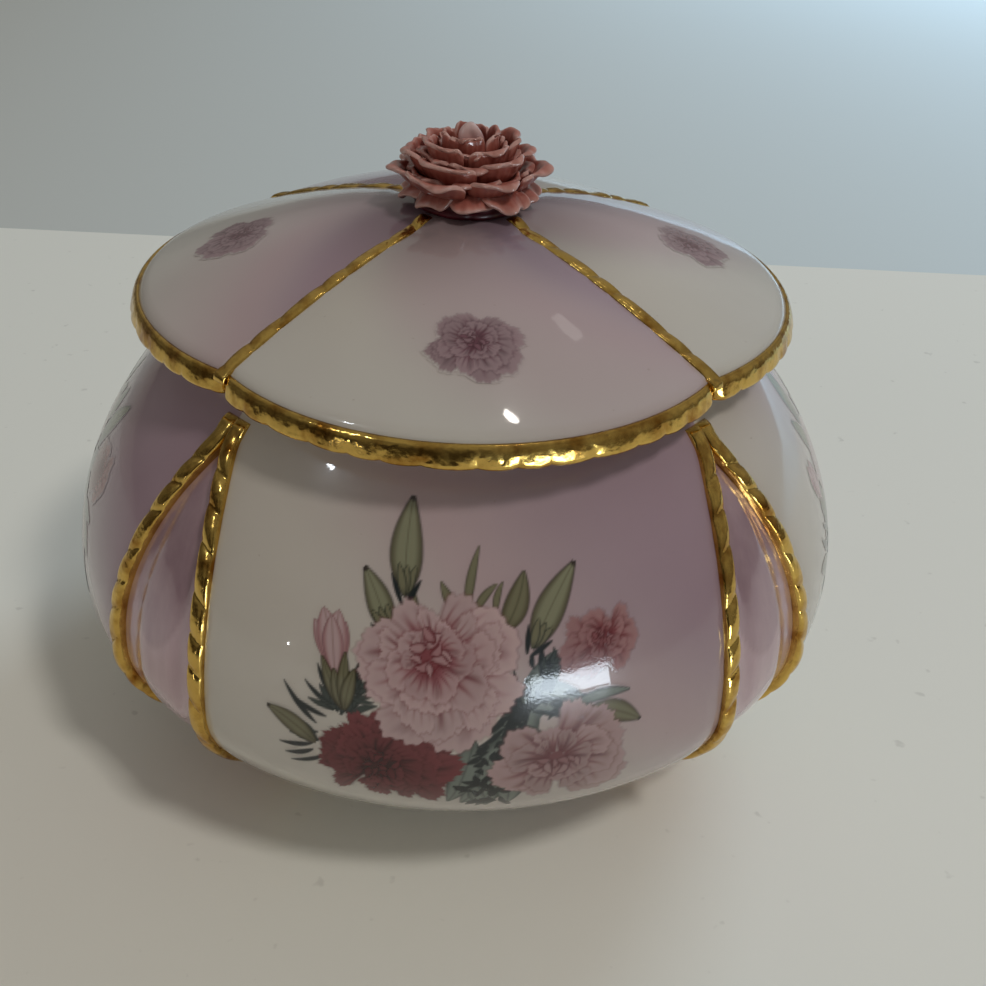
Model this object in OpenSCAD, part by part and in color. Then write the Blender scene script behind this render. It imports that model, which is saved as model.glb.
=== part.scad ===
// Cushion-shaped porcelain trinket box with four puffed panels, four recessed pleats,
// gilt cord trim and a lift-off lid with a carnation finial.
// +Z is up, the front panel faces -Y and the origin is the centre of the foot on the table.

/* [Bowl] */
// Radius of the belly at its widest
belly_r = 62.5; // [56:0.5:68]
// Height of the widest part of the belly
belly_z = 28; // [24:0.5:32]
// Radius that the outside of the bowl curves in to at table level
base_r = 34; // [32:0.5:38]
// Outside radius of the neck under the lid
neck_r = 41.5; // [40:0.25:42.5]
// Height at which the shoulder meets the neck
shoulder_z = 66; // [64:0.25:67]
// Height of the rim that the lid rests on
seat_z = 69.4; // [69:0.1:70]
// Wall thickness at the belly and the neck
wall = 3.2; // [2.6:0.1:3.8]
// Height of the floor inside the bowl
floor_z = 6; // [5:0.25:8]
// Radius of the flat floor inside the bowl
floor_r = 38; // [34:0.5:39]

/* [Foot] */
// Outside radius of the foot ring
foot_r = 33.5; // [31:0.5:34]
// Width of the foot ring
foot_w = 4; // [3:0.25:6]
// Height of the foot ring
foot_h = 2; // [1.5:0.25:2.5]

/* [Pleats and cords] */
// Half the width of a pleat between its two cord centres, at its widest
pleat_half_w = 9.6; // [8:0.2:11]
// Half the height of the leaf shape that a pleat's two cords draw
pleat_half_h = 34; // [33:0.25:35]
// Height of the widest part of the pleat
pleat_mid_z = 29; // [28:0.25:30]
// Depth of the pleat floor below the panels
pleat_depth = 2.6; // [2.2:0.1:4]
// Thickness of the lustre-glazed pleat skin
pleat_skin = 1.2; // [0.8:0.1:1.6]
// Width of a cord
cord_w = 2.4; // [1.8:0.1:3]
// Height of a cord above the panels
cord_proud = 1; // [0.6:0.1:1.4]
// Height at which the cords and pleats end under the bowl
cord_low_z = 2.4; // [2.2:0.1:5]

/* [Lid] */
// Radius of each of the four lobes of the lid's outline
lobe_r = 40; // [39:0.25:41]
// Distance from the axis to the centre of a lobe
lobe_offset = 10.4; // [9.5:0.1:11]
// Height of the crown of each puffed lid panel
crown_z = 83.4; // [82:0.2:85]
// Drop from the crown of a panel to the rim
crown_drop = 12.2; // [10:0.2:13]
// Exponent of the panel's curve: 1 is a cone and 2 a parabola
crown_power = 1.36; // [1.3:0.02:1.8]
// Height of the roof inside the lid
roof_z = 79.4; // [78:0.2:80]
// Drop of the roof from the axis to the flange
roof_drop = 7; // [6:0.2:8]
// Height of the underside of the locating flange
flange_z = 64.6; // [63:0.2:66]
// Thickness of the locating flange
flange_w = 2.6; // [2:0.1:3]
// Gap between the flange and the inside of the neck
flange_gap = 0.7; // [0.4:0.1:1.2]

/* [Lid trim] */
// Thickness of the gilt rim band
band_w = 1.5; // [1:0.1:2]
// Height of the underside of the rim band
band_low_z = 68.2; // [67.6:0.1:68.8]
// Height of the rim band
band_h = 3.2; // [2.4:0.1:3.6]
// Width of a lid cord
lid_cord_w = 2.2; // [1.6:0.1:2.8]
// Depth that a lid cord is sunk into its valley
lid_cord_sunk = 0.8; // [0.5:0.1:1.2]
// Height of a lid cord above its valley
lid_cord_proud = 1; // [0.6:0.1:1.4]

/* [Carnation] */
// Radius of the raised seat under the flower
boss_r = 9; // [8:0.25:10]
// Radius of the dark base of the flower
calyx_r = 8.2; // [7:0.2:8.8]
// Height of the dark base of the flower
calyx_h = 2.4; // [2:0.1:3]
// Radius of the core that the rows of petals are fixed to
core_r = 3; // [2.5:0.1:3.2]
// Height of the whole flower above the lid
flower_h = 11.9; // [11.5:0.1:12.5]
// Thickness of a petal
petal_t = 0.8; // [0.6:0.05:1]

/* [Hidden] */
// Directions of the four corners, anticlockwise from +X
front_left = 225;
front_right = 315;
back_right = 45;
back_left = 135;
corners = [front_left, front_right, back_right, back_left];
// Number of straight steps in each half of a curved profile
profile_steps = 8;
// Overlap that lets one shape cut cleanly through another
cut = 1;
// Furthest that any cutter reaches from the axis
reach = 80;
// Radius of the inside of the neck and of the locating flange
neck_in_r = neck_r - wall;
flange_r = neck_in_r - flange_gap;
flange_in_r = flange_r - flange_w;
// Depth of the notch in the flower's seat that a lid cord starts in
cord_notch = 0.5;
// Height at which the round bore of the neck starts, just below the flange
bore_low_z = flange_z - 1.5;
// Radius of the arcs that draw a pleat, and how far their centres stand off its middle
leaf_r = (pow(pleat_half_h, 2) + pow(pleat_half_w, 2)) / (2 * pleat_half_w);
leaf_offset = leaf_r - pleat_half_w;
// Height of the roots of the lowest row of petals, and the step from one row's roots to the next
root_z = crown_z + calyx_h + petal_t;
root_step = 0.9;
// Rows of petals: count, height of the roots, radius and height of the tips
row_lowest = [8, root_z, 12, crown_z + 2.6];
row_lower = [8, root_z + root_step, 11.8, crown_z + 5.4];
row_middle = [7, root_z + 2 * root_step, 9.6, crown_z + 7.7];
row_upper = [6, root_z + 3 * root_step, 7.4, crown_z + 9.6];
row_top = [5, root_z + 4 * root_step, 5.2, crown_z + 11.2];
$fn = 96;

// Radius of a bulging wall at height z, from two parabolas that meet at the belly
function bulge_r(z, low_z, low_r, high_z, high_r, mid_r) =
    z < belly_z
    ? mid_r - (mid_r - low_r) * pow((belly_z - z) / (belly_z - low_z), 2)
    : mid_r - (mid_r - high_r) * pow((z - belly_z) / (high_z - belly_z), 2);

// Radius of the outside of the bowl, moved inwards by inset
function outside_r(z, inset) = bulge_r(z, 0, base_r, shoulder_z, neck_r, belly_r) - inset;

// Radius of the inside of the bowl, moved inwards by inset
function inside_r(z, inset) =
    bulge_r(z, floor_z, floor_r, shoulder_z, neck_in_r, belly_r - wall) - inset;

// Height of a lid panel at a distance from the centre of its lobe
function panel_z(distance) = crown_z - crown_drop * pow(distance / lobe_r, crown_power);

// Height of the valley between two lid panels at a distance from the axis
function valley_z(d) = panel_z(sqrt(d * d - sqrt(2) * lobe_offset * d + lobe_offset * lobe_offset));

// Heights that divide a profile evenly below and above the belly
function profile_heights(low_z, high_z) = [
    for (i = [0:2 * profile_steps])
        i < profile_steps
        ? low_z + (belly_z - low_z) * i / profile_steps
        : belly_z + (high_z - belly_z) * (i - profile_steps) / profile_steps
];

module outside_form(inset) {
    heights = profile_heights(foot_h, shoulder_z);
    rotate_extrude()
        polygon(concat(
            [[0, foot_h]],
            [for (z = heights) [outside_r(z, inset), z]],
            [[0, shoulder_z]]));
}

module inside_form(inset) {
    heights = profile_heights(floor_z, shoulder_z);
    rotate_extrude()
        polygon(concat(
            [[0, floor_z]],
            [for (z = heights) [inside_r(z, inset), z]],
            [[0, shoulder_z]]));
}

// The leaf shape of a pleat, seen from its corner, with its edge moved outwards by grow
module leaf(grow) {
    translate([0, pleat_mid_z])
        intersection_for (side = [-1, 1])
            translate([side * leaf_offset, 0])
                circle(r = leaf_r + grow);
}

// A flat outline, drawn across and up, pushed out from the axis towards a corner
module towards_corner(angle) {
    rotate([0, 0, angle])
        rotate([90, 0, 90])
            linear_extrude(reach)
                children();
}

module leaf_prisms(grow) {
    for (angle = corners)
        towards_corner(angle)
            leaf(grow);
}

module bowl() {
    color("ghostwhite")
        difference() {
            union() {
                difference() {
                    outside_form(0);
                    difference() {
                        leaf_prisms(cord_w / 2);
                        outside_form(pleat_depth);
                    }
                }
                translate([0, 0, shoulder_z - cut])
                    cylinder(r = neck_r, h = seat_z - shoulder_z + cut);
                cylinder(r = foot_r, h = foot_h + cut);
            }
            difference() {
                inside_form(0);
                difference() {
                    leaf_prisms(cord_w / 2 + wall);
                    inside_form(pleat_depth);
                }
            }
            translate([0, 0, bore_low_z])
                cylinder(r = neck_in_r, h = seat_z - bore_low_z + cut);
            translate([0, 0, -cut])
                cylinder(r = foot_r - foot_w, h = foot_h + cut);
        }
}

// The part of the bowl's skin between two depths, above the level where the cords end
module skin(outer_inset, inner_inset) {
    difference() {
        outside_form(outer_inset);
        outside_form(inner_inset);
        cylinder(r = reach, h = cord_low_z);
    }
}

module pleat(angle) {
    color("thistle")
        intersection() {
            skin(pleat_depth - pleat_skin, pleat_depth);
            towards_corner(angle)
                leaf(-cord_w / 2);
        }
}

// One of the two cords at a corner: side 1 lies anticlockwise of the pleat, and -1 clockwise
module cord(angle, side) {
    color("goldenrod")
        intersection() {
            skin(-cord_proud, pleat_depth);
            towards_corner(angle)
                difference() {
                    leaf(cord_w / 2);
                    leaf(-cord_w / 2);
                    translate([side > 0 ? -reach : 0, 0])
                        square([reach, reach]);
                }
        }
}

// The four-lobed outline of the lid, for lobes of radius r
module lobes(r) {
    for (turn = [0:90:270])
        rotate([0, 0, turn])
            translate([lobe_offset, 0])
                circle(r = r);
}

module lid_panels() {
    edge_r = lobe_r - band_w;
    for (turn = [0:90:270])
        rotate([0, 0, turn])
            translate([lobe_offset, 0, 0])
                rotate_extrude()
                    polygon(concat(
                        [[0, seat_z], [edge_r, seat_z]],
                        [for (i = [profile_steps:-1:0])
                            [edge_r * i / profile_steps, panel_z(edge_r * i / profile_steps)]]));
}

module lid_roof() {
    rotate_extrude()
        polygon(concat(
            [[0, flange_z - cut], [flange_in_r, flange_z - cut]],
            [for (i = [profile_steps:-1:0])
                [flange_in_r * i / profile_steps, roof_z - roof_drop * pow(i / profile_steps, 2)]]));
}

// Side view of a lid cord, from its valley line down by sunk and up by proud
module lid_cord_blade(angle, proud) {
    start = boss_r - cord_notch;
    run = sqrt(2) / 2 * lobe_offset
        + sqrt(pow(lobe_r - band_w, 2) - pow(lobe_offset, 2) / 2) - start;
    steps = [for (i = [0:profile_steps]) start + run * i / profile_steps];
    back = [for (i = [profile_steps:-1:0]) start + run * i / profile_steps];
    rotate([0, 0, angle])
        rotate([90, 0, 0])
            translate([0, 0, -lid_cord_w / 2])
                linear_extrude(lid_cord_w)
                    polygon(concat(
                        [for (d = steps) [d, valley_z(d) - lid_cord_sunk]],
                        [for (d = back) [d, valley_z(d) + proud]]));
}

module lid() {
    color("ghostwhite")
        difference() {
            union() {
                lid_panels();
                translate([0, 0, roof_z])
                    cylinder(r = boss_r, h = crown_z - roof_z);
                translate([0, 0, flange_z])
                    cylinder(r = flange_r, h = seat_z - flange_z + cut);
            }
            lid_roof();
            for (angle = corners)
                lid_cord_blade(angle, crown_drop);
        }
}

module lid_cord(angle) {
    color("goldenrod")
        lid_cord_blade(angle, lid_cord_proud);
}

module rim_band() {
    color("gold")
        translate([0, 0, band_low_z])
            linear_extrude(band_h)
                difference() {
                    lobes(lobe_r);
                    lobes(lobe_r - band_w);
                }
}

module flower_base() {
    waist_r = calyx_r - 1;
    color("maroon")
        translate([0, 0, crown_z])
            rotate_extrude()
                polygon([[0, 0], [calyx_r, 0], [waist_r, calyx_h], [0, calyx_h]]);
}

// A ring of petals fixed to the core, from a row of count, root height, tip radius and tip height
module petals(row) {
    count = row[0];
    low_z = row[1];
    tip_r = row[2];
    tip_z = row[3];
    petal_r = tip_r * sin(180 / count) * 1.1;
    color("palevioletred")
        intersection() {
            rotate_extrude()
                polygon([[core_r, low_z], [tip_r, tip_z - petal_t], [tip_r, tip_z],
                         [core_r, low_z + petal_t]]);
            linear_extrude(reach * 2)
                union() {
                    circle(r = tip_r * 0.75);
                    for (i = [0:count - 1])
                        rotate([0, 0, i * 360 / count])
                            translate([tip_r - petal_r, 0])
                                circle(r = petal_r);
                }
        }
}

module flower_heart() {
    dome_h = flower_h - calyx_h - core_r;
    color("lightcoral")
        translate([0, 0, crown_z + calyx_h]) {
            cylinder(r = core_r, h = dome_h);
            translate([0, 0, dome_h])
                intersection() {
                    sphere(r = core_r);
                    cylinder(r = core_r, h = core_r);
                }
        }
}

bowl();
pleat(front_left);  // pleat_front_left
pleat(front_right);  // pleat_front_right
pleat(back_right);  // pleat_back_right
pleat(back_left);  // pleat_back_left
cord(front_left, -1);  // cord_front_left_outer
cord(front_left, 1);  // cord_front_left_inner
cord(front_right, -1);  // cord_front_right_inner
cord(front_right, 1);  // cord_front_right_outer
cord(back_right, -1);  // cord_back_right_outer
cord(back_right, 1);  // cord_back_right_inner
cord(back_left, -1);  // cord_back_left_inner
cord(back_left, 1);  // cord_back_left_outer
lid();
rim_band();
lid_cord(front_left);  // lid_cord_front_left
lid_cord(front_right);  // lid_cord_front_right
lid_cord(back_right);  // lid_cord_back_right
lid_cord(back_left);  // lid_cord_back_left
flower_base();
petals(row_lowest);  // petals_lowest
petals(row_lower);  // petals_lower
petals(row_middle);  // petals_middle
petals(row_upper);  // petals_upper
petals(row_top);  // petals_top
flower_heart();
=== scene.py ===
import math

import bmesh
import bpy
import numpy as np
from mathutils import Matrix, Vector


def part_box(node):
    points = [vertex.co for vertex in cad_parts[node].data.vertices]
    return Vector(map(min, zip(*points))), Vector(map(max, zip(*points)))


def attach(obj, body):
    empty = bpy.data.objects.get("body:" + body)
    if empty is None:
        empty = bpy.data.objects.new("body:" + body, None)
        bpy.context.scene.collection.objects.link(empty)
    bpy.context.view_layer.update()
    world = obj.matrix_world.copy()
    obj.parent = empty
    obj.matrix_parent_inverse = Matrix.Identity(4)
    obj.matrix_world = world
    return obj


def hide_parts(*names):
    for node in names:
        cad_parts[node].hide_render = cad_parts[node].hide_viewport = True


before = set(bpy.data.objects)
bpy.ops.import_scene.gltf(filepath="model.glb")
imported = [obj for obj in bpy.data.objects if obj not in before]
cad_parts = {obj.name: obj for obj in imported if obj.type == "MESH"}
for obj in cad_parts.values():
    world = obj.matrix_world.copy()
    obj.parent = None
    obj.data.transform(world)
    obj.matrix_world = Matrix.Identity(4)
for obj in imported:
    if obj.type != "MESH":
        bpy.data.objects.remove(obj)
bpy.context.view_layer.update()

MM = 0.001


def low(node):
    return [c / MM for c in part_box(node)[0]]


def high(node):
    return [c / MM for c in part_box(node)[1]]


# Bowl. The porcelain is drawn a hair inside the CAD skin, which leaves room for the printed transfers.
SKIN = 0.15
BELLY_R = high("bowl")[0] - SKIN
BELLY_Z = 28
BASE_R = 34 - SKIN
NECK_R = 41.5
SHOULDER_Z = 66
SEAT_Z = high("bowl")[2]
WALL = 3.2
FLOOR_Z = 6
FLOOR_R = 38
FOOT_R = 33.5
FOOT_W = 4
FOOT_H = 2

# Pleats and cords
LEAF_HALF_W = 9.6
LEAF_HALF_H = 34
LEAF_MID_Z = 29
LEAF_R = (LEAF_HALF_H**2 + LEAF_HALF_W**2) / (2 * LEAF_HALF_W)
LEAF_OFFSET = LEAF_R - LEAF_HALF_W
PLEAT_DEPTH = 2.6
PLEAT_SKIN = 1.2
CORD_W = 2.4
CORD_LOW_Z = 2.4

# Lid
LOBE_R = 40
LOBE_OFFSET = high("rim_band")[0] - LOBE_R
BAND_W = 1.5
BAND_LOW_Z = low("rim_band")[2]
BAND_HIGH_Z = high("rim_band")[2]
CROWN_Z = low("flower_base")[2]
CROWN_DROP = 12.2
CROWN_POWER = 1.36
ROOF_Z = 79.4
ROOF_DROP = 7
FLANGE_Z = low("lid")[2]
FLANGE_R = 37.6
FLANGE_W = 2.6
LID_CORD_W = 2.2
BOSS_R = 9

# Carnation
CALYX_R = high("flower_base")[0]
CALYX_H = high("flower_base")[2] - CROWN_Z
CORE_R = 3
HEART_Z = high("flower_heart")[2]

# The four panels by the direction they face, and the four corners between them
PANELS = {"front": -90, "right": 0, "back": 90, "left": 180}
CORNERS = {"front_right": -45, "back_right": 45, "back_left": 135, "front_left": 225}


# ---- helpers
def smoothstep(start, end, value):
    t = np.clip((value - start) / (end - start), 0, 1)
    return t * t * (3 - 2 * t)


def mix(a, b, t):
    """Blends two colours or points by an array of weights."""
    t = np.asarray(t)[..., None]
    return np.asarray(a) * (1 - t) + np.asarray(b) * t


def turned(points, angle):
    """Points turned about the vertical axis."""
    c, s = math.cos(math.radians(angle)), math.sin(math.radians(angle))
    x, y, z = points[..., 0], points[..., 1], points[..., 2]
    return np.stack([x * c - y * s, x * s + y * c, z], axis=-1)


def polar(r, angles, z):
    """Points at a distance from the vertical axis, in the directions given in radians, at a height."""
    return np.stack([r * np.cos(angles), r * np.sin(angles), z + 0 * angles], axis=-1)


def grid_faces(rows, columns, wrap=False):
    """Quads of a grid of points that is stored row by row; wrap joins the last column to the first."""
    faces = []
    for i in range(rows - 1):
        for j in range(columns if wrap else columns - 1):
            k = (j + 1) % columns
            a, b = i * columns, (i + 1) * columns
            faces.append((a + j, a + k, b + k, b + j))
    return faces


def tube(rings):
    """Points and faces of a closed tube through rings of equal length, with a fan over each end."""
    count, around = rings.shape[:2]
    faces = grid_faces(count, around, wrap=True)
    points = np.vstack([rings.reshape(-1, 3), rings[0].mean(axis=0), rings[-1].mean(axis=0)])
    start, end = count * around, count * around + 1
    last = (count - 1) * around
    for j in range(around):
        k = (j + 1) % around
        faces.append((start, k, j))
        faces.append((end, last + j, last + k))
    return points, faces


def make(name, points, faces, material, body, replaces=(), paint=None, outward=True):
    """A smooth mesh piece from points in millimetres, riding on a body."""
    mesh = bpy.data.meshes.new(name)
    mesh.from_pydata((np.asarray(points) * MM).tolist(), [], faces)
    if paint is not None:
        layer = mesh.attributes.new("paint", "FLOAT_COLOR", "POINT")
        rgba = np.ones((len(points), 4))
        rgba[:, :paint.shape[-1]] = paint
        layer.data.foreach_set("color", rgba.ravel())
    if outward:
        shape = bmesh.new()
        shape.from_mesh(mesh)
        bmesh.ops.recalc_face_normals(shape, faces=shape.faces)
        shape.to_mesh(mesh)
        shape.free()
    mesh.polygons.foreach_set("use_smooth", [True] * len(mesh.polygons))
    mesh.materials.append(material)
    piece = bpy.data.objects.new(name, mesh)
    bpy.context.collection.objects.link(piece)
    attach(piece, body)
    if replaces:
        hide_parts(*replaces)
    return piece


# ---- materials
def node(tree, kind, output, inputs=None, **settings):
    """Adds a shader node and gives one of its outputs. A value of inputs that is a socket is linked, and
    any other is set."""
    made = tree.nodes.new(kind)
    for key, value in settings.items():
        setattr(made, key, value)
    for key, value in (inputs or {}).items():
        if isinstance(value, bpy.types.NodeSocket):
            tree.links.new(value, made.inputs[key])
        else:
            made.inputs[key].default_value = value
    return made.outputs[output]


def new_material(name, **sockets):
    """A Principled material with constants on the shader's own sockets."""
    material = bpy.data.materials.new(name)
    material.use_nodes = True
    shader = material.node_tree.nodes["Principled BSDF"]
    for key, value in sockets.items():
        shader.inputs[key.replace("_", " ")].default_value = value
    return material, material.node_tree, shader


def position(tree):
    return node(tree, "ShaderNodeTexCoord", "Object")


def noise(tree, scale, detail, roughness=0.5, vector=None):
    """Noise with a scale in features per metre."""
    return node(tree, "ShaderNodeTexNoise", "Fac", {
        "Vector": vector or position(tree), "Scale": scale, "Detail": detail, "Roughness": roughness,
    })


def between(tree, value, low_in, high_in, low_out, high_out):
    """A value that runs from low_out to high_out while another runs from low_in to high_in."""
    return node(tree, "ShaderNodeMapRange", "Result", {
        "Value": value, "From Min": low_in, "From Max": high_in, "To Min": low_out, "To Max": high_out,
    })


def blend(tree, factor, a, b, kind="MIX"):
    """Blends two colours, each of them a socket or red, green and blue."""
    a, b = (c if isinstance(c, bpy.types.NodeSocket) else (*c, 1) for c in (a, b))
    return node(tree, "ShaderNodeMix", 2, {0: factor, 6: a, 7: b}, data_type="RGBA", blend_type=kind)


def add(tree, a, b):
    return node(tree, "ShaderNodeMath", 0, {0: a, 1: b}, operation="ADD")


def paint_layer(tree):
    """The colours that the mesh brings along, point by point."""
    return node(tree, "ShaderNodeAttribute", "Color", attribute_name="paint")


def set_colour(tree, shader, colour):
    tree.links.new(colour, shader.inputs["Base Color"])


def bump(tree, shader, height, distance):
    """Feeds a height, in parts of a distance in millimetres, to the normals of the body and the coat."""
    normal = node(tree, "ShaderNodeBump", "Normal", {
        "Height": height, "Distance": distance * MM, "Strength": 1.0})
    for key in ("Normal", "Coat Normal"):
        tree.links.new(normal, shader.inputs[key])


def painted_glaze(name, grain):
    """Porcelain glaze whose airbrushed or printed colour comes with the mesh; grain is the height in
    millimetres of its fine texture."""
    ripple = 0.05
    material, tree, shader = new_material(
        name, Roughness=0.24, IOR=1.5, Specular_IOR_Level=0.2,
        Coat_Weight=0.75, Coat_Roughness=0.035, Coat_IOR=1.5)
    cloud = between(tree, noise(tree, 55, 2), 0.3, 0.7, 0.0, 0.5)
    clouded = blend(tree, cloud, paint_layer(tree), (0.95, 0.93, 0.94), "MULTIPLY")
    speck = between(tree, noise(tree, 900, 1), 0.79, 0.83, 0.0, 0.35)
    set_colour(tree, shader, blend(tree, speck, clouded, (0.35, 0.27, 0.22)))
    waves = between(tree, noise(tree, 160, 1), 0.0, 1.0, 0.0, ripple)
    fine = between(tree, noise(tree, 2600, 2), 0.0, 1.0, 0.0, grain)
    bump(tree, shader, add(tree, waves, fine), 1.0)
    return material


def lustre(name):
    """Pink lavender lustre glaze of the pleats, with soft upright streaks."""
    material, tree, shader = new_material(
        name, Roughness=0.22, Metallic=0.25, IOR=1.7, Coat_Weight=1.0, Coat_Roughness=0.05,
        Coat_Tint=(1.0, 0.93, 0.97, 1))
    stretched = node(tree, "ShaderNodeMapping", "Vector", {
        "Vector": position(tree), "Scale": (1.0, 1.0, 0.12)})
    streak = between(tree, noise(tree, 420, 3, vector=stretched), 0.3, 0.7, 0.0, 1.0)
    set_colour(tree, shader, blend(tree, streak, paint_layer(tree), (0.86, 0.82, 0.86), "MULTIPLY"))
    bump(tree, shader, noise(tree, 140, 1), 0.03)
    return material


def bright_gold(name):
    """Burnished liquid gold over moulded porcelain: darker brown patches at random, brush marks and small
    dents.
    """
    material, tree, shader = new_material(name, Metallic=1.0, IOR=1.5)
    # Darker brown patches at random over the gold.
    brown_patch = between(tree, noise(tree, 240, 4, 0.6), 0.46, 0.7, 0.0, 1.0)
    set_colour(tree, shader, blend(tree, brown_patch, (0.72, 0.47, 0.12), (0.33, 0.14, 0.02)))
    tree.links.new(
        between(tree, noise(tree, 700, 3), 0.3, 0.7, 0.1, 0.26), shader.inputs["Roughness"])
    dents = between(tree, noise(tree, 330, 2), 0.0, 1.0, 0.0, 0.3)
    brushing = between(tree, noise(tree, 1500, 2), 0.0, 1.0, 0.0, 0.03)
    bump(tree, shader, add(tree, dents, brushing), 1.0)
    return material


def petal_glaze(name):
    """Glossy salmon glaze that runs thin on the petals' edges and pools in their roots; the colours that
    come with the mesh add painted highlight on the edges and painted shade in the roots.
    """
    material, tree, shader = new_material(
        name, Roughness=0.3, IOR=1.5, Coat_Weight=0.9, Coat_Roughness=0.07)
    blotch = between(tree, noise(tree, 420, 3), 0.35, 0.7, 0.0, 0.6)
    set_colour(tree, shader, blend(tree, blotch, paint_layer(tree), (0.8, 0.7, 0.66), "MULTIPLY"))
    bump(tree, shader, noise(tree, 650, 2), 0.1)
    return material


def calyx_glaze(name):
    """Dark maroon glaze with a few brighter runs."""
    material, tree, shader = new_material(
        name, Roughness=0.4, IOR=1.35, Coat_Weight=0.1, Coat_Roughness=0.12)
    run = between(tree, noise(tree, 380, 3), 0.4, 0.75, 0.0, 1.0)
    set_colour(tree, shader, blend(tree, run, (0.07, 0.008, 0.014), (0.18, 0.022, 0.04)))
    bump(tree, shader, noise(tree, 500, 2), 0.12)
    return material


# ---- surfaces
def outside_r(z):
    """Radius of the outside of the bowl at a height: two parabolas that meet at the belly."""
    z = np.asarray(z, dtype=float)
    under = BELLY_R - (BELLY_R - BASE_R) * ((BELLY_Z - z) / BELLY_Z) ** 2
    over = BELLY_R - (BELLY_R - NECK_R) * ((z - BELLY_Z) / (SHOULDER_Z - BELLY_Z)) ** 2
    return np.where(z < BELLY_Z, under, over)


def inside_r(z):
    """Radius of the inside of the bowl at a height."""
    z = np.asarray(z, dtype=float)
    widest = BELLY_R - WALL
    under = widest - (widest - FLOOR_R) * ((BELLY_Z - z) / (BELLY_Z - FLOOR_Z)) ** 2
    over = widest - (widest - NECK_R + WALL) * ((z - BELLY_Z) / (SHOULDER_Z - BELLY_Z)) ** 2
    return np.where(z < BELLY_Z, under, over)


def no_less(value, least, softness):
    """The larger of the two, rounded off where they meet."""
    gap = (value - least) / 2
    return least + gap + np.sqrt(gap**2 + softness**2)


def leaf_w(z):
    """Half the width of a pleat at a height, between its two cord centres."""
    span = np.clip(LEAF_R**2 - (np.asarray(z, dtype=float) - LEAF_MID_Z) ** 2, 0, None)
    return np.clip(np.sqrt(span) - LEAF_OFFSET, 0, None)


def panel_z(distance):
    """Height of a lid panel at a distance from the middle of its lobe."""
    return CROWN_Z - CROWN_DROP * (distance / LOBE_R) ** CROWN_POWER


def lid_z(x, y):
    """Height of the lid's top above a point: four puffed panels, with a seat for the flower."""
    x, y = np.abs(x), np.abs(y)
    along, across = np.maximum(x, y), np.minimum(x, y)
    lobe = np.hypot(along - LOBE_OFFSET, across)
    seat = smoothstep(BOSS_R + 3.5, BOSS_R - 1, np.hypot(x, y))
    return panel_z(lobe) * (1 - seat) + CROWN_Z * seat


# ---- airbrushing
WHITE = np.array([0.61, 0.59, 0.545])
CREAM = np.array([0.61, 0.54, 0.475])
ROSE = np.array([0.5, 0.33, 0.358])
MAUVE = np.array([0.365, 0.253, 0.312])


def airbrush(across, up, wobble):
    """Colour of a panel that is white at its lower left and mauve towards its top and right. across
    runs from -1 to 1 from left to right, and up from 0 to 1."""
    mauve = smoothstep(-0.2, 1.05, 0.68 * across + 0.9 * (up - 0.5) + 0.2 + 0.08 * wobble)
    blush = smoothstep(0.0, 0.6, mauve) * (1 - smoothstep(0.5, 1.0, mauve))
    colour = mix(WHITE, CREAM, 0.5 * smoothstep(-0.2, 0.9, up) * (1 - mauve))
    colour = mix(colour, MAUVE, 0.95 * mauve)
    return mix(colour, ROSE, 0.45 * blush)


def folded(angle):
    """How far a direction is from the middle of its panel, from -1 at its left to 1 at its right."""
    return ((np.asarray(angle) + 45) % 90 - 45) / 45


def bowl_paint(points):
    """Colours of the bowl at points: airbrushed outside, and plain white inside, below and on the neck."""
    angle = np.degrees(np.arctan2(points[:, 1], points[:, 0]))
    across = folded(angle)
    up = points[:, 2] / SEAT_Z
    wobble = np.sin(3 * across + 9 * up) + np.sin(np.radians(angle) * 3 + 5 * up)
    outer = airbrush(across, up, wobble)
    r = np.hypot(points[:, 0], points[:, 1])
    inside = (r < outside_r(points[:, 2]) - PLEAT_DEPTH - 0.3) | (points[:, 2] < FOOT_H + 0.1)
    plain = np.maximum(inside, smoothstep(SHOULDER_Z - 1.6, SHOULDER_Z + 0.2, points[:, 2]))
    return mix(outer, WHITE, plain)


def lid_paint(points):
    """Colours of the lid at points: airbrushed on top, darker towards the middle of the top, and plain
    white below.
    """
    angle = np.degrees(np.arctan2(points[:, 1], points[:, 0]))
    across = folded(angle)
    up = 1 - np.hypot(points[:, 0], points[:, 1]) / (LOBE_R + LOBE_OFFSET)
    wobble = np.sin(4 * across + 7 * up) + np.sin(np.radians(angle) * 3 + 3 * up)
    outer = airbrush(0.9 * across, 0.05 + 1.35 * up, wobble)
    # Darker towards the middle of the top, round the flower.
    outer = outer * (1 - 0.42 * smoothstep(0.4, 0.85, up))[:, None]
    inside = (points[:, 2] < SEAT_Z + 0.5)[:, None]
    return np.where(inside, WHITE, outer)


# ---- bowl
EDGE_OFFSETS = (1.5, 0.7, -0.7, -1.5)
PANEL_COLUMNS = 40


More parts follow.
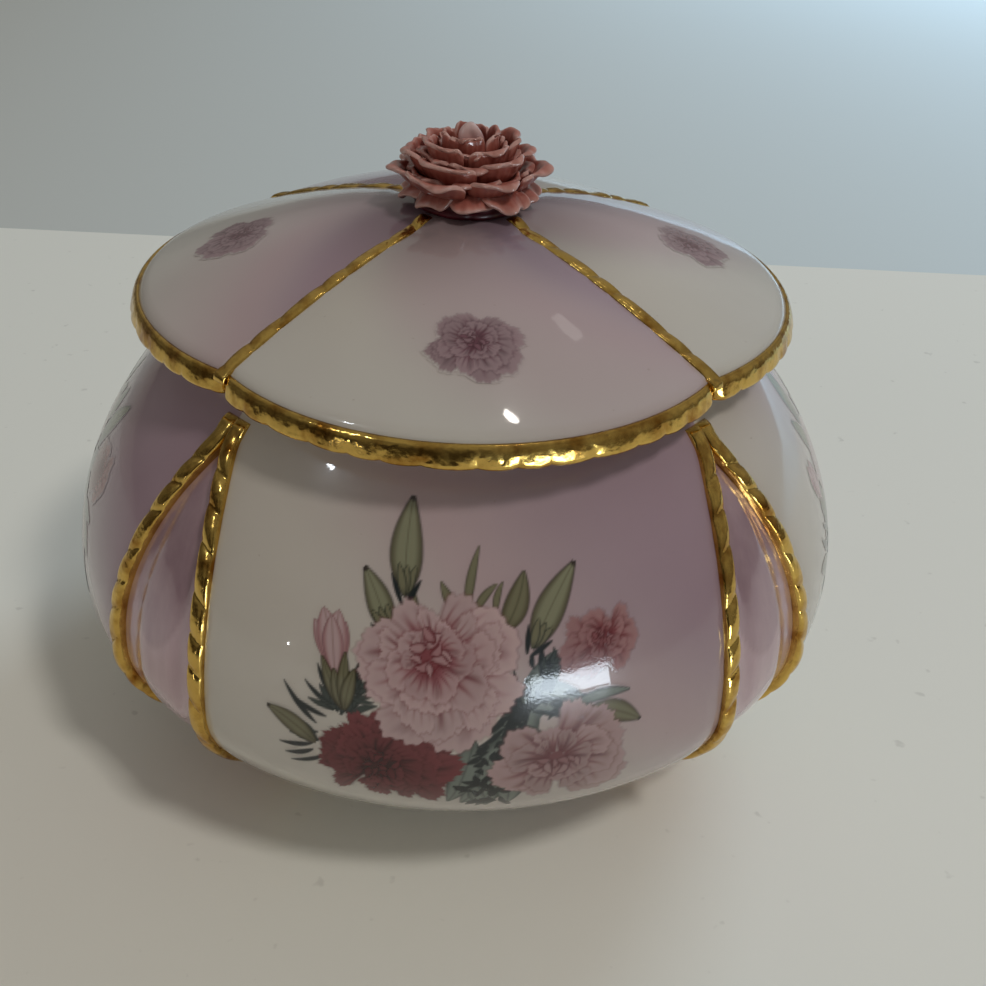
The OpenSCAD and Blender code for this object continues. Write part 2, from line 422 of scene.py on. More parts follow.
def column_angles(z, r):
    """Directions of the bowl's columns at a height, and how far each lies inside a pleat (0 or 1) and
    from its edge. The columns follow the edges of the four pleats."""
    w = max(float(leaf_w(z)), 1.8)
    left = [-(w + e) for e in EDGE_OFFSETS]
    offsets = left + [-0.5 * (w - 1.5), 0, 0.5 * (w - 1.5)] + [-x for x in reversed(left)]
    angles, inner, clear = [], [], []
    for corner in CORNERS.values():
        edge = math.degrees(math.asin((w + EDGE_OFFSETS[0]) / r))
        for x in offsets:
            angles.append(corner + math.degrees(math.asin(x / r)))
            inner.append(1.0 if abs(x) < w else 0.0)
            clear.append(abs(x) - w)
        for k in range(1, PANEL_COLUMNS):
            turn = edge + (90 - 2 * edge) * k / PANEL_COLUMNS
            angles.append(corner + turn)
            inner.append(0.0)
            clear.append(math.radians(min(turn, 90 - turn)) * r - w)
    return np.radians(angles), np.array(inner), np.array(clear)


def bowl_ring(z, r, recess=0.0, puff=0.0, columns_z=None):
    """One ring of the bowl: recess pushes the pleats in, and puff rounds the panels off beside them."""
    at = z if columns_z is None else columns_z
    angles, inner, clear = column_angles(at, max(r, 20))
    radii = r - recess * inner - puff * np.exp(-(np.clip(clear, 0, None) / 2.4) ** 2) * (1 - inner)
    return polar(radii, angles, z)


def pleat_fade(z):
    """How much of the pleats' depth is left at a height: it runs out where the cords meet."""
    return float(smoothstep(0.4, 3.0, leaf_w(z)))


def bowl_rings():
    """Rings of the bowl from the middle of the foot, up the outside, over the rim and down the inside."""
    rings = []

    def lay(z, r, **options):
        rings.append(bowl_ring(z, r, **options))

    foot_in = FOOT_R - FOOT_W
    for r in (0.5, 10, 20, foot_in - 1.2):
        lay(FOOT_H, r, columns_z=FOOT_H)
    for z, r in ((FOOT_H - 0.15, foot_in - 0.35), (FOOT_H - 0.7, foot_in), (0.5, foot_in + 0.1),
                 (0.1, foot_in + 0.6), (0, foot_in + 1.2), (0, FOOT_R - 1.2), (0.1, FOOT_R - 0.6),
                 (0.5, FOOT_R - 0.1), (FOOT_H - 0.4, FOOT_R - 0.05), (FOOT_H, FOOT_R + 0.3)):
        lay(z, r, columns_z=FOOT_H)
    for z in np.concatenate([np.arange(2.15, 6, 0.45), np.arange(6, SHOULDER_Z - 2, 1.0),
                             np.arange(SHOULDER_Z - 2, SEAT_Z - 0.7, 0.4)]):
        z = float(z)
        r = float(no_less(outside_r(z), NECK_R - SKIN, 0.5))
        lay(z, r, recess=PLEAT_DEPTH * pleat_fade(z), puff=0.35 * pleat_fade(z))
    neck_in = NECK_R - WALL
    for turn in range(0, 181, 30):
        a = math.radians(turn)
        middle, half = (NECK_R + neck_in) / 2, WALL / 2 - 0.1
        lay(SEAT_Z - 0.7 + 0.7 * math.sin(a), middle + half * math.cos(a), columns_z=SHOULDER_Z)
    for z in np.arange(SEAT_Z - 1.4, FLOOR_Z + 1.5, -1.0):
        z = float(z)
        r = float(no_less(inside_r(z), neck_in, 0.5)) if z > BELLY_Z else float(inside_r(z))
        lay(z, r, recess=PLEAT_DEPTH * 0.9 * pleat_fade(z), puff=1.2 * pleat_fade(z))
    for z, r in ((FLOOR_Z + 0.9, FLOOR_R + 0.6), (FLOOR_Z + 0.3, FLOOR_R - 1.2), (FLOOR_Z, FLOOR_R - 4),
                 (FLOOR_Z, 20), (FLOOR_Z, 8), (FLOOR_Z, 0.5)):
        lay(z, r, columns_z=FOOT_H)
    return np.array(rings)


def build_bowl(material):
    points, faces = tube(bowl_rings())
    make("bowl_body", points, faces, material, "box", ["bowl"], bowl_paint(points))


def build_pleats(material):
    """The lustre-glazed fold between two cords: softly crowned, with a slack tuck down each side."""
    zs = np.linspace(CORD_LOW_Z, LEAF_MID_Z + LEAF_HALF_H - 3.2, 90)
    side = np.linspace(-1, 1, 25)
    for name, corner in CORNERS.items():
        front, back, paint = [], [], []
        for z in zs:
            w = float(leaf_w(z)) - 0.7
            x = side * w
            crown = 1.15 * (1 - 0.3 * side**2) * min(1, w / 4)
            tuck = 0.3 * np.exp(-((np.abs(side) - 0.6) / 0.16) ** 2) * smoothstep(2.5, 6, w)
            r = float(outside_r(z)) - PLEAT_DEPTH + PLEAT_SKIN - 0.2 + crown - tuck
            for rows, radius in ((front, r), (back, float(outside_r(z)) - PLEAT_DEPTH - 0.2 + 0 * x)):
                along = np.sqrt(radius**2 - x**2)
                rows.append(np.stack([along, x, np.full_like(x, z)], axis=-1))
            # The pleat's paint is a painted reflection of the dark room: darker towards the top, and
            # darker still above a rounded V in its upper middle.
            dark_reflection = smoothstep(-0.8, 0.8, z - (34 + 15 * side**2 + 3 * side))
            shade = 0.25 * smoothstep(10, 60, z) + 0.45 * dark_reflection * smoothstep(70, 40, z)
            paint.append(mix((0.6, 0.47, 0.49), (0.33, 0.23, 0.265), np.clip(shade, 0, 1)))
        rings = np.array([np.vstack([f, b[::-1]]) for f, b in zip(front, back)])
        colours = np.array([np.vstack([p, p[::-1]]) for p in paint]).reshape(-1, 3)
        points, faces = tube(turned(rings, corner))
        colours = np.vstack([colours, colours[:2]])
        make(f"pleat_{name}_fold", points, faces, material, "box",
             [f"pleat_{name}"], colours)


# ---- gilt cords
def bead(phase, fullness):
    """Height of a rope of beads at a phase in turns: 1 on a bead and 0 in the groove between two. The
    lower the fullness, the narrower the groove."""
    return np.abs(np.cos(np.pi * phase)) ** fullness


def sweep(path, normals, sections):
    """Rings of (across, height) sections along a path with surface normals."""
    tangents = np.gradient(path, axis=0)
    tangents /= np.linalg.norm(tangents, axis=1)[:, None]
    sides = np.cross(tangents, normals)
    sides /= np.linalg.norm(sides, axis=1)[:, None]
    ups = np.cross(sides, tangents)
    return path[:, None] + sides[:, None] * sections[..., :1] + ups[:, None] * sections[..., 1:]


def run_length(path):
    """How far along the path each of its points lies."""
    return np.concatenate([[0], np.cumsum(np.linalg.norm(np.diff(path, axis=0), axis=1))])


AROUND = np.linspace(0, np.pi, 15)


def rope_ends(s, first, last):
    """Full height along a rope, rounded down to nothing over the first and last millimetres."""
    return np.clip(np.minimum(s / first, (s[-1] - s) / last), 0, 1)[:, None] ** 0.5


def rope(path, normals, width, height, foot, corner):
    """A rope with a domed top of the given half widths and heights, on a foot of (across, height)."""
    top = np.stack([np.cos(AROUND) * width, height * np.sin(AROUND) ** 0.45], axis=-1)
    foot = np.repeat(np.array(foot)[None], len(path), axis=0)
    return tube(turned(sweep(path, normals, np.concatenate([top, foot], axis=1)), corner))


def cord_path(side):
    """Centre line of a cord on its corner's skin, from under the bowl up to the neck."""
    zs = np.linspace(CORD_LOW_Z, SHOULDER_Z - 2.0, 260)
    across = side * no_less(leaf_w(zs), 1.0, 0.35)
    r = no_less(outside_r(zs), NECK_R, 0.4)
    slope = np.gradient(r, zs)
    along = np.sqrt(r**2 - across**2)
    path = np.stack([along, across, zs], axis=-1)
    normals = np.stack([along / r, across / r, -slope], axis=-1)
    return path, normals / np.linalg.norm(normals, axis=1)[:, None]


def build_cords(material):
    """Rope mouldings down both edges of each pleat, with a gilt wall that drops into the pleat."""
    pitch, half = 5.6, CORD_W / 2 + 0.05
    foot = [(-half + 0.1, -0.5), (-half + 0.3, -2.3), (half - 0.3, -2.3), (half - 0.1, -0.5)]
    for corner_name, corner in CORNERS.items():
        for side in (-1, 1):
            outer = (side > 0) == (corner_name in ("front_right", "back_left"))
            name = f"cord_{corner_name}_{'outer' if outer else 'inner'}"
            path, normals = cord_path(side)
            s = run_length(path)
            turns = s[:, None] / pitch
            phase = turns + 0.17 * np.cos(AROUND) * side + 0.13 * np.sin(1.7 * turns + corner)
            strength = smoothstep(0, 7, s[-1] - s) * (0.25 + 0.75 * smoothstep(18, 42, s))
            beads = 1 - (1 - bead(phase, 0.42)) * strength[:, None]
            width = half * (0.93 + 0.07 * beads)
            height = (0.42 + 0.55 * beads) * rope_ends(s, 2.5, 1.2)
            points, faces = rope(path, normals, width, height, foot, corner)
            make(f"{name}_rope", points, faces, material, "box", [name])


def build_rim(material):
    """Gilt edge of the lid: a rounded band with a softly scalloped lower edge, one length per lobe."""
    pitch, corner_d = 5.4, 46.4
    reach = math.degrees(math.acos((corner_d / math.sqrt(2) - LOBE_OFFSET) / (LOBE_R - 0.2)))
    angles = np.radians(np.linspace(-reach, reach, 330))
    inner = LOBE_R - BAND_W - 0.05
    deep, lip = BAND_HIGH_Z - BAND_LOW_Z, 0.6
    for name, facing in PANELS.items():
        rings = []
        for a in angles:
            s = a * LOBE_R
            end = min(1.0, math.degrees(angles[-1] - abs(a)) / 2.2) ** 0.5
            section = []
            for k in np.linspace(0, 1, 14):
                groove = 1 - bead(s / pitch + 0.5 + 0.1 * k + 0.16 * math.sin(0.31 * s + facing), 0.5)
                dip = groove * float(smoothstep(0.35, 1.0, k))
                out = (BAND_W + 0.04) * k**0.6 * (1 - 0.16 * dip)
                drop = (deep - lip) * k**1.5 - 0.25 * dip
                section.append((inner + out, BAND_HIGH_Z - drop))
            r, z = section[-1]
            section += [(r - 0.08, z - 0.35), (r - 0.35, z - 0.55), (inner, BAND_LOW_Z + 0.25)]
            section = [(inner + (r - inner) * end, z) for r, z in section]
            rings.append([(r * math.cos(a) + LOBE_OFFSET, r * math.sin(a), z) for r, z in section])
        points, faces = tube(turned(np.array(rings), facing))
        make(f"rim_band_{name}", points, faces, material, "lid", ["rim_band"])


def build_lid_cords(material):
    """Strap-like cords in the valleys of the lid, which turn down over the rim at the corners."""
    pitch, corner_d = 6.2, 46.0
    d = np.linspace(BOSS_R - 0.8, corner_d, 170)
    z = lid_z(d / math.sqrt(2), d / math.sqrt(2)) - 0.25
    turn = np.radians(np.linspace(0, 70, 12))[1:]
    path = np.stack([d, 0 * d, z], axis=-1)
    bend_z = z[-1] - 0.7 * (1 - np.cos(turn)) - 0.3 * turn
    path = np.vstack([path, np.stack([corner_d + 0.5 * np.sin(turn), 0 * turn, bend_z], axis=-1)])
    tangents = np.gradient(path, axis=0)
    normals = np.stack([-tangents[:, 2], 0 * tangents[:, 0], tangents[:, 0]], axis=-1)
    normals /= np.linalg.norm(normals, axis=1)[:, None]
    s = run_length(path)
    for name, corner in CORNERS.items():
        phase = s[:, None] / pitch + 0.12 * np.cos(AROUND) + 0.2 * np.sin(0.4 * s[:, None] + corner)
        beads = bead(phase, 0.6)
        width = LID_CORD_W / 2 * (0.92 + 0.08 * beads)
        height = (0.45 + 0.35 * beads) * rope_ends(s, 1.0, 1.6)
        points, faces = rope(path, normals, width, height, [(-0.9, -0.6), (0.9, -0.6)], corner)
        make(f"lid_cord_{name}_strap", points, faces, material, "lid", [f"lid_cord_{name}"])


# ---- lid
def lobe_edge(angles, r):
    """Distance from the axis to the lobed outline, for lobes of radius r."""
    off = np.radians(folded(np.degrees(angles)) * 45)
    return LOBE_OFFSET * np.cos(off) + np.sqrt(r**2 - (LOBE_OFFSET * np.sin(off)) ** 2)


def build_lid(material):
    """The lid's shell, ringed from the crown out to the edge, round the flange and in under the roof."""
    angles = np.radians(np.arange(-45, 315, 90 / 44))
    unit = np.stack([np.cos(angles), np.sin(angles)], axis=-1)
    edge = lobe_edge(angles, LOBE_R - BAND_W)
    rings = []

    def lay(radii, z):
        radii = np.broadcast_to(radii, angles.shape)
        rings.append(np.column_stack([unit * radii[:, None], np.broadcast_to(z, angles.shape)]))

    lay(0.4, CROWN_Z)
    for r in np.arange(2, BOSS_R + 4, 0.75):
        lay(r, lid_z(*(unit * r).T))
    start = BOSS_R + 4
    for t in np.linspace(0, 1, 42)[1:]:
        radii = start + (edge - start) * t
        fall = 0.5 * smoothstep(0.97, 1.0, t)
        lay(radii - 0.1 * fall, lid_z(*(unit * radii[:, None]).T) - fall)
    for z, inset in ((SEAT_Z + 1.2, 0.0), (SEAT_Z + 0.5, 0.05), (SEAT_Z + 0.15, 0.3), (SEAT_Z, 0.8)):
        lay(edge - inset, z)
    lay(FLANGE_R + 0.6, SEAT_Z)
    flange_in = FLANGE_R - FLANGE_W
    for z, r in ((SEAT_Z - 0.5, FLANGE_R), (FLANGE_Z + 1, FLANGE_R), (FLANGE_Z + 0.3, FLANGE_R - 0.3),
                 (FLANGE_Z, FLANGE_R - 1), (FLANGE_Z, flange_in + 0.9), (FLANGE_Z + 0.4, flange_in + 0.2),
                 (FLANGE_Z + 1.2, flange_in), (ROOF_Z - ROOF_DROP - 2, flange_in),
                 (ROOF_Z - ROOF_DROP - 0.6, flange_in - 0.3)):
        lay(r, z)
    for t in np.linspace(0.97, 0.02, 22):
        lay(flange_in * t, ROOF_Z - ROOF_DROP * t**2)
    points, faces = tube(np.array(rings))
    make("lid_shell", points, faces, material, "lid", ["lid"], lid_paint(points))


# ---- carnation
def bezier(controls, s):
    """Points at shares s along a cubic Bezier curve."""
    a, b, c, d = (np.array(p, dtype=float) for p in controls)
    s = s[:, None]
    return a * (1 - s) ** 3 + 3 * b * s * (1 - s) ** 2 + 3 * c * s**2 * (1 - s) + d * s**3


def petal_sheet(profile, facing, half_angle, ruffle, rng):
    """A ruffled petal as a grid of points: profile is its (radius, height) curve from root to tip."""
    s = np.linspace(0, 1, 15)
    t = np.linspace(-1, 1, 27)
    lean, phase = rng.uniform(-0.1, 0.1), rng.uniform(0, 6.3)
    lobes = rng.choice([1.3, 1.9, 2.6])
    rows = []
    for along in s:
        stop = 1 - 0.34 * np.abs(t) ** 3.6 + 0.06 * np.cos(lobes * np.pi * t + phase) * along
        r, z = bezier(profile, along * stop).T
        spread = half_angle * (0.6 + 0.4 * math.sin(math.pi / 2 * min(1, 1.25 * along)))
        ripple = np.sin(lobes * np.pi * t + phase) + 0.3 * np.sin(5.2 * np.pi * t + 2 * phase)
        wave = ruffle * along**3 * ripple
        r = r * (1 - 0.13 * t**2 * along) + wave
        z = z + lean * t * along * 4 + 0.5 * wave
        angle = np.radians(facing + t * spread)
        rows.append(polar(r, angle, z))
    # Painted light, kept in shade. The petal is dark at the root, where the glaze pools and painted shade
    # stands in for the depth of the flower. It is pale at the rim, where the glaze runs thin and a painted
    # highlight is added. Stripes of painted shade run across the petal for its ribs.
    shade = np.repeat((0.05 + 0.65 * s + 0.3 * s**7)[:, None], len(t), axis=1)
    shade = shade - 0.35 * np.abs(np.sin(4.5 * np.pi * t + phase))[None, :] * (1 - s[:, None] ** 3)
    return np.array(rows), np.clip(shade, 0, 1)


def petal_controls(row, tip_r, tip_z, root_z):
    """The four control points of a petal's profile: the lowest row spreads, and the others cup upwards
    and curl out at the rim."""
    if row == "lowest":
        return [(CORE_R, root_z), (tip_r * 0.6, root_z + 0.8), (tip_r * 0.86, root_z - 0.4),
                (tip_r, tip_z)]
    roll = 0.8 if row == "top" else 1.0
    return [(CORE_R - 1, root_z), (tip_r * 1.02, root_z - 1.4), (tip_r * 0.84 * roll, tip_z + 0.9),
            (tip_r * 1.03 * roll, tip_z - 0.7)]


# Rows of petals: count, direction of the first, half the angle of a petal, ruffle, thickness, and how
# far the tips stand above the top of the CAD row (for the lowest row, above its underside)
ROWS = {
    "lowest": (8, -90.0, 27, 0.5, 0.65, 0.3),
    "lower": (7, -66.0, 29, 0.58, 0.7, 1.5),
    "middle": (6, -118.0, 33, 0.54, 0.7, 1.2),
    "upper": (5, -60.0, 38, 0.46, 0.65, 0.8),
    "top": (4, -100.0, 46, 0.28, 0.6, 0.2),
}
DOUBLE_ROWS = ("lower", "middle", "upper")


def build_petals(material):
    """Five rows of ruffled petals; the three middle rows each have a second ring of petals inside."""
    rng = np.random.default_rng(7)
    for row, (count, first, half_angle, ruffle, thickness, lift) in ROWS.items():
        node_low, node_high = low(f"petals_{row}"), high(f"petals_{row}")
        for i in range(count * 2 if row in DOUBLE_ROWS else count):
            inner = i >= count
            tip_r, root_z, tip_z = node_high[0], node_low[2] - 1.0, node_high[2] + lift
            if row == "lowest":
                tip_r, root_z, tip_z = tip_r - 0.9, node_high[2] - 0.3, node_low[2] + lift
            if inner:
                tip_r, root_z, tip_z = tip_r * 0.82, root_z + 0.8, tip_z - 0.5
            facing = first + (i + 0.5 * inner) * 360 / count + rng.uniform(-7, 7)
            scale = 0.9 if row == "lowest" and i == 0 else rng.uniform(0.88, 1.0)
            top = tip_z - thickness / 2 + rng.uniform(-0.9, 0.2)
            controls = petal_controls(row, tip_r * scale, top, root_z)
            half = half_angle * rng.uniform(0.92, 1.08)
            grid, shade = petal_sheet(controls, facing, half, ruffle, rng)
            # Deep rose where the painted shade is dark, and pale at the rim where the painted highlight
            # is.
            paint = mix((0.22, 0.036, 0.024), (0.57, 0.215, 0.17), shade.ravel())
            paint = mix(paint, (0.66, 0.39, 0.35), smoothstep(0.66, 1.0, shade.ravel()))
            faces = grid_faces(*grid.shape[:2])
            piece = make(f"petal_{row}_{i + 1}", grid.reshape(-1, 3), faces, material, "lid",
                         [f"petals_{row}"], paint, outward=False)
            thick = piece.modifiers.new("thickness", "SOLIDIFY")
            thick.thickness, thick.offset = thickness * MM, 0
            rounding = piece.modifiers.new("rounding", "SUBSURF")
            rounding.levels = rounding.render_levels = 1


def build_heart(material):
    """The furled bud in the middle of the flower: a ribbed dome on a tapering core."""
    base_z = CROWN_Z + CALYX_H
    dome_h, dome_z = 2.5, HEART_Z - 2.6
    angles = np.radians(np.arange(0, 360, 6))
    rings = []
    for t in np.linspace(0, 1, 22):
        if t < 0.5:
            z, r = base_z + (dome_z - base_z) * t / 0.5, CORE_R * (0.9 - 0.7 * t)
        else:
            a = (t - 0.5) * math.pi
            z, r = dome_z + dome_h * math.sin(a), CORE_R * 0.55 * math.cos(a) + 0.01
        furl = 1 + 0.26 * np.sin(3 * angles + 5 * t) * min(1, 4 * t) * math.sin(math.pi * t)
        rings.append(polar(r * furl, angles, z))
    points, faces = tube(np.array(rings))
    # Painted light on the bud: the deep rose low down is painted shade, and the pale pink top is a painted
    # highlight.
    shade = smoothstep(base_z + 5, HEART_Z, points[:, 2])
    make("flower_bud", points, faces, material, "lid", ["flower_heart"],
         mix((0.45, 0.11, 0.09), (0.74, 0.55, 0.55), shade))


def build_calyx(material):
    """The dark base: a lumpy disc with ten blunt sepals that curl out under the petals."""
    angles = np.radians(np.arange(0, 360, 3))
    sepal = np.abs(np.cos(5 * angles)) ** 0.6
    profile = (
        (0.4, 0, 0), (CALYX_R - 1.2, 0, 0), (CALYX_R - 0.5, 0.05, 0.2), (CALYX_R - 0.25, 0.5, 0.3),
        (CALYX_R - 0.5, 1.0, 0.3), (CALYX_R - 1.0, 1.5, 0.5), (CALYX_R - 0.9, 2.0, 0.9),
        (CALYX_R - 1.4, CALYX_H + 0.1, 0.6), (CALYX_R - 3, CALYX_H + 0.2, 0), (0.4, CALYX_H + 0.2, 0),
    )
    rings = [polar(r + bulge * (sepal - 0.5), angles, CROWN_Z + z) for r, z, bulge in profile]
    points, faces = tube(np.array(rings))
    make("flower_calyx", points, faces, material, "lid", ["flower_base"])


# ---- printed flowers
def compass(angle):
    """The way that an angle in radians points."""
    return np.array([math.cos(angle), math.sin(angle)])


class Transfer:
    """A printed flower transfer, painted on a fine flat grid in millimetres across (u) and up (v)."""

    def __init__(self, corner_a, corner_b, step, seed):
        us = np.arange(corner_a[0], corner_b[0] + step, step)
        vs = np.arange(corner_a[1], corner_b[1] + step, step)
        self.u, self.v = np.meshgrid(us, vs)
        self.soft = 1.2 * step
        self.colour = np.zeros(self.u.shape + (3,))
        self.cover = np.zeros(self.u.shape)
        self.rng = np.random.default_rng(seed)

    def lay(self, inside, colour, strength=1.0):
        """Lays a colour over what is there; inside is a distance in millimetres into the shape."""
        a = np.clip(inside / self.soft + 0.5, 0, 1) * strength
        total = a + self.cover * (1 - a)
        old = self.colour * (self.cover * (1 - a))[..., None]
        new = np.broadcast_to(colour, self.colour.shape) * a[..., None]
        self.colour = (new + old) / np.maximum(total, 1e-6)[..., None]
        self.cover = total

    def blade(self, base, tip, width, colour, dark, bend=0.0, outline=0.16, vein=0.0, tip_dark=0.0,
              fat=0.45):
        """A pointed leaf from base to tip, fattest at the share fat of its length."""
        base, tip = np.array(base, float), np.array(tip, float)
        length = np.linalg.norm(tip - base)
        d = (tip - base) / length
        x, y = self.u - base[0], self.v - base[1]
        t = (x * d[0] + y * d[1]) / length
        n = -x * d[1] + y * d[0] - bend * 4 * t * (1 - t)
        tt = np.clip(t, 0, 1)
        power = math.log(0.5) / math.log(fat)
        half = width / 2 * np.sin(np.pi * tt**power) ** 0.85 + 0.02
        inside = np.where((t > 0) & (t < 1), half - np.abs(n), -1.0)
        middle = 1 - np.abs(n) / np.maximum(half, 0.05)
        shade = mix(dark, colour, smoothstep(0, 0.55, middle) * 0.75 + 0.25)
        shade = mix(shade, np.array(dark) * 0.7, 0.55 * smoothstep(0.35, 0.0, tt))
        self.lay(inside + outline, np.array(dark) * 0.45, 0.8)
        self.lay(inside, shade)
        if vein:
            self.lay(np.where(inside > 0, vein - np.abs(n), -1), np.array(dark) * 0.6, 0.55)
        if tip_dark:
            near = tip_dark - np.hypot(self.u - tip[0], self.v - tip[1])
            self.lay(np.minimum(near, inside + outline), (0.03, 0.02, 0.02), 0.9)

    def petal(self, root, heading, length, spread, tip, mid, deep, line, teeth, streaks):
        """A fan-shaped petal with a ragged edge, deep at the root and pale at the tip."""
        rng = self.rng
        x, y = self.u - root[0], self.v - root[1]
        rho = np.hypot(x, y)
        psi = (np.degrees(np.arctan2(y, x)) - heading + 180) % 360 - 180
        a, b, c = rng.uniform(0, 6.3, 3)
        sway = 0.16 * np.sin(1.1 * rho / max(length, 0.5) * math.pi + c)
        q = psi / spread + sway
        ragged = 0.028 * np.sin(teeth * q * 2 + a) + 0.018 * np.sin(teeth * q * 5 + b)
        ragged = ragged + 0.07 * np.sin(2.6 * q + c)
        edge = length * (1 - 0.2 * np.abs(q) ** 3 + ragged)
        side = (1 - np.abs(q)) * math.radians(spread) * np.maximum(rho, 0.2)
        inside = np.minimum(edge - rho, side)
        tau = np.clip(rho / np.maximum(edge, 0.1), 0, 1)
        glow = rng.uniform(0.86, 1.06)
        self.lay(inside + 0.3, mix(line, mid, 0.35), 0.3)
        shade = mix(deep, mid, smoothstep(0.1, 0.5, tau))
        shade = mix(shade, tip, smoothstep(0.36, 0.72, tau))
        ribs = 0.5 + 0.5 * np.sin(streaks * q * 3.1 + a + 1.3 * np.sin(2 * q + b) + 2 * tau)
        shade = mix(shade, mid, 0.85 * ribs**3 * smoothstep(1.0, 0.5, tau))
        shade = mix(shade, line, 0.6 * ribs**6 * smoothstep(0.95, 0.2, tau))
        fold = np.exp(-((q - rng.uniform(-0.7, 0.7)) / 0.16) ** 2)
        shade = mix(shade, line, 0.5 * fold * smoothstep(0.1, 0.5, tau) * smoothstep(1.02, 0.7, tau))
        shade = mix(shade, line, 0.35 * smoothstep(0.35, 0.0, side) * smoothstep(0.3, 0.7, tau))
        shade = mix(shade, np.array(tip) * 1.1, 0.55 * smoothstep(0.84, 0.97, tau))
        self.lay(inside, np.clip(shade * glow, 0, 0.95))

    def carnation(self, middle, size, heart, tip, mid, deep, line, rings):
        """A carnation of rings of petals round its heart; size is its half width and half height."""
        rng = self.rng
        heart = np.array(heart)
        for ring, (count, share, spread) in enumerate(rings):
            depth = ring / len(rings)
            pale = mix(tip, mid, 0.45 * depth * depth)
            start = rng.uniform(0, 360)
            for i in rng.permutation(count):
                heading = start + 360 * i / count + rng.uniform(-14, 14)
                rim = middle + size * compass(math.radians(heading))
                root = heart + 0.08 * (rim - heart) + rng.uniform(-0.25, 0.25, 2)
                toward = rim - root
                length = np.linalg.norm(toward) * share * rng.uniform(0.84, 1.04)
                aim = math.degrees(math.atan2(toward[1], toward[0]))
                self.petal(root, aim, length, spread * rng.uniform(0.75, 1.2), pale, mid, deep, line,
                           teeth=rng.integers(5, 9), streaks=rng.integers(3, 6))
        pit = 0.13 * min(size) - np.hypot(self.u - heart[0], self.v - heart[1])
        self.lay(pit, mix(mid, deep, 0.6))
        for _ in range(12):
            h = rng.uniform(0, 2 * math.pi)
            at = heart + rng.uniform(0.02, 0.2) * (size * compass(h))
            way = h + rng.choice([-1, 1]) * rng.uniform(0.6, 1.5)
            reach = rng.uniform(0.12, 0.24) * size[0]
            self.blade(at, at + reach * compass(way), reach * 0.5,
                       mix(mid, tip, rng.uniform(0, 0.7)), deep, bend=rng.uniform(-0.5, 0.5), outline=0.09)

    def wisps(self, base, heading, fan, count, length, width, colour, dark, scatter=0.8):
        """A tuft of thin dark blades that fan out of a point."""
        rng = self.rng
        for _ in range(count):
            h = math.radians(heading + rng.uniform(-fan, fan))
            long = length * rng.uniform(0.5, 1.0)
            start = np.array(base) + rng.uniform(-scatter, scatter, 2)
            self.blade(start, start + long * compass(h), width * rng.uniform(0.6, 1.2), colour, dark,
                       bend=rng.uniform(-0.5, 0.5), outline=0.04)


def palette(tip, mid, deep, line):
    """The colours of a flower: at the tips, halfway, in its depths and along its lines."""
    return dict(tip=tip, mid=mid, deep=deep, line=line)


OLIVE, OLIVE_DARK = (0.19, 0.18, 0.108), (0.07, 0.055, 0.028)
BUD_GREEN = (0.25, 0.25, 0.16)
SAGE, SAGE_DARK = (0.19, 0.22, 0.195), (0.045, 0.058, 0.052)
INK = (0.018, 0.023, 0.025)
PINK = palette((0.52, 0.375, 0.38), (0.34, 0.14, 0.155), (0.19, 0.03, 0.04), (0.14, 0.025, 0.035))
BLUSH = palette((0.43, 0.295, 0.298), (0.25, 0.11, 0.118), (0.16, 0.04, 0.05), (0.12, 0.035, 0.045))
WINE = palette((0.17, 0.034, 0.04), (0.075, 0.008, 0.012), (0.03, 0.004, 0.006), (0.018, 0.003, 0.005))
CORAL = palette((0.36, 0.19, 0.195), (0.24, 0.065, 0.073), (0.13, 0.013, 0.019), (0.1, 0.015, 0.018))
PLUM = palette((0.33, 0.225, 0.245), (0.19, 0.075, 0.102), (0.09, 0.018, 0.032), (0.06, 0.015, 0.026))

# Leaves and fronds: base, tip and width
SMALL_LEAVES = (
    ((-0.6, 50.3), (0.9, 57.2), 1.1), ((-1.4, 50.5), (-3.9, 53.6), 1.2),
    ((0.3, 50.3), (3.2, 53.4), 0.9), ((3.0, 50.2), (3.9, 53.6), 0.8),
)
STEM_LEAVES = (
    ((10.6, 45.6), (5.2, 35.0), 4.6), ((8.0, 41.5), (2.6, 29.0), 5.4),
    ((5.6, 36.0), (-0.8, 22.6), 5.6), ((6.0, 40.5), (16.0, 38.2), 4.4),
    ((4.6, 32.0), (5.4, 22.2), 4.6), ((5.6, 36.6), (10.0, 31.0), 3.6),
    ((1.0, 27.5), (2.6, 21.8), 4.0), ((0.6, 35.0), (-2.6, 23.0), 4.0),
)
DARK_FRONDS = (
    ((9.8, 42.6), (9.0, 46.4), 1.0), ((10.6, 44.6), (8.9, 41.2), 0.9),
    ((5.4, 44.0), (6.5, 34.5), 0.55), ((7.6, 40.6), (6.2, 34.2), 0.5),
    ((4.4, 36.4), (1.0, 33.6), 0.6), ((8.0, 38.4), (12.6, 36.8), 0.5),
    ((-20.0, 34.6), (-24.6, 39.6), 0.8), ((-18.6, 36.0), (-23.4, 37.8), 0.7),
    ((-17.6, 37.6), (-21.6, 40.4), 0.7), ((-17.4, 38.6), (-19.8, 42.8), 0.7),
    ((-20.6, 31.4), (-25.6, 30.2), 0.7), ((-20.6, 30.4), (-24.8, 28.6), 0.7),
    ((-19.8, 33.4), (-24.4, 33.2), 0.7), ((-19.0, 29.8), (-24.0, 27.4), 0.6),
)

